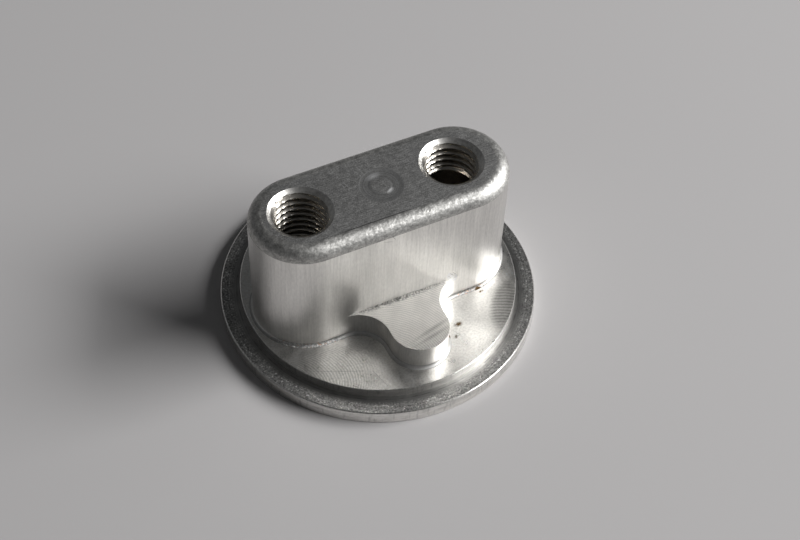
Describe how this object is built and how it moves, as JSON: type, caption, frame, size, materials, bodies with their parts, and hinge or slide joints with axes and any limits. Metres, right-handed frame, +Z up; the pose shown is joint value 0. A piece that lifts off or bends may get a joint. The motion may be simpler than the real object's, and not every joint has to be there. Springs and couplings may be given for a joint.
{
  "type": "flanged mounting boss",
  "caption": "Machined aluminium flange with a tall obround boss, tapped holes in its top face and a low rounded lug at its side.",
  "frame": {"origin": "centre of the round flange's bottom face", "axes": "+Z up out of the flange's bottom along its axis, towards the boss's top; +X along the boss; -Y towards the lug"},
  "size_m": [0.052, 0.052, 0.0267],
  "materials": {
    "aluminium": "bare milled aluminium with fine cutter marks, side walls smooth, faces duller"
  },
  "bodies": {
    "root": {"flanged_boss": "aluminium"}
  },
  "joints": []
}
